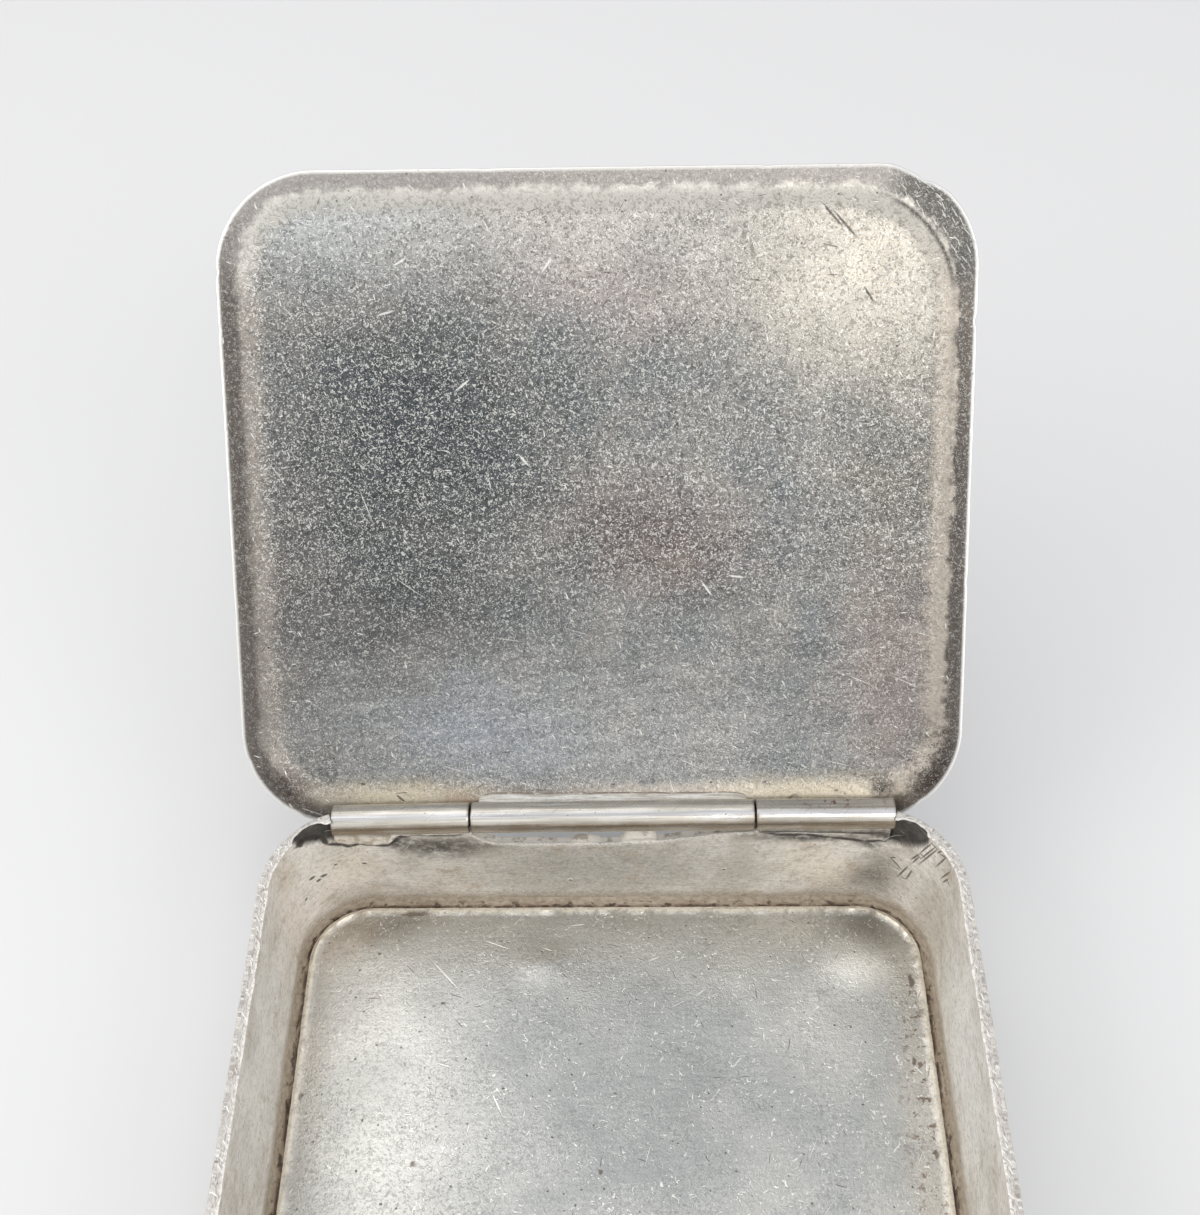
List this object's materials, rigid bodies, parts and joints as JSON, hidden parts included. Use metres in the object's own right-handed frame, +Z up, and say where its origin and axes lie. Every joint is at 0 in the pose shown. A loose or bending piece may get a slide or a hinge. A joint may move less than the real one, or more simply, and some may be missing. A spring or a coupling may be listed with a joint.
{
  "type": "hinged metal box",
  "caption": "Shallow silver-plated box with rounded corners and a slightly domed lid on a knuckle hinge along the rear wall.",
  "frame": {"origin": "centre of the underside of the body, where the box stands", "axes": "+Z up from the surface it stands on, +Y back to the hinge, +X to the right seen from the front"},
  "size_m": [0.0848, 0.1229, 0.075],
  "materials": {
    "plated_walls": "satin",
    "plated_floor": "satin",
    "plated_lid": "satin",
    "hinge_tube": "polished",
    "pin_metal": "matte",
    "solder": "matte"
  },
  "bodies": {
    "body": {"wall_band": "plated_walls", "floor_plate": "plated_floor", "floor_solder_seam": "solder", "hinge_knuckle_left": "hinge_tube", "hinge_knuckle_right": "hinge_tube", "hinge_pin": "pin_metal", "wall_solder_left": "solder", "wall_solder_right": "solder"},
    "lid": {"lid_plate": "plated_lid", "hinge_knuckle_centre": "hinge_tube", "lid_solder_strip": "solder"}
  },
  "joints": [
    {"name": "lid_hinge", "type": "hinge", "parent": "body", "child": "lid", "pos_m": [0, 0.03615, 0.0203], "axis": [1, 0, 0], "range_deg": [0, 131]}
  ]
}
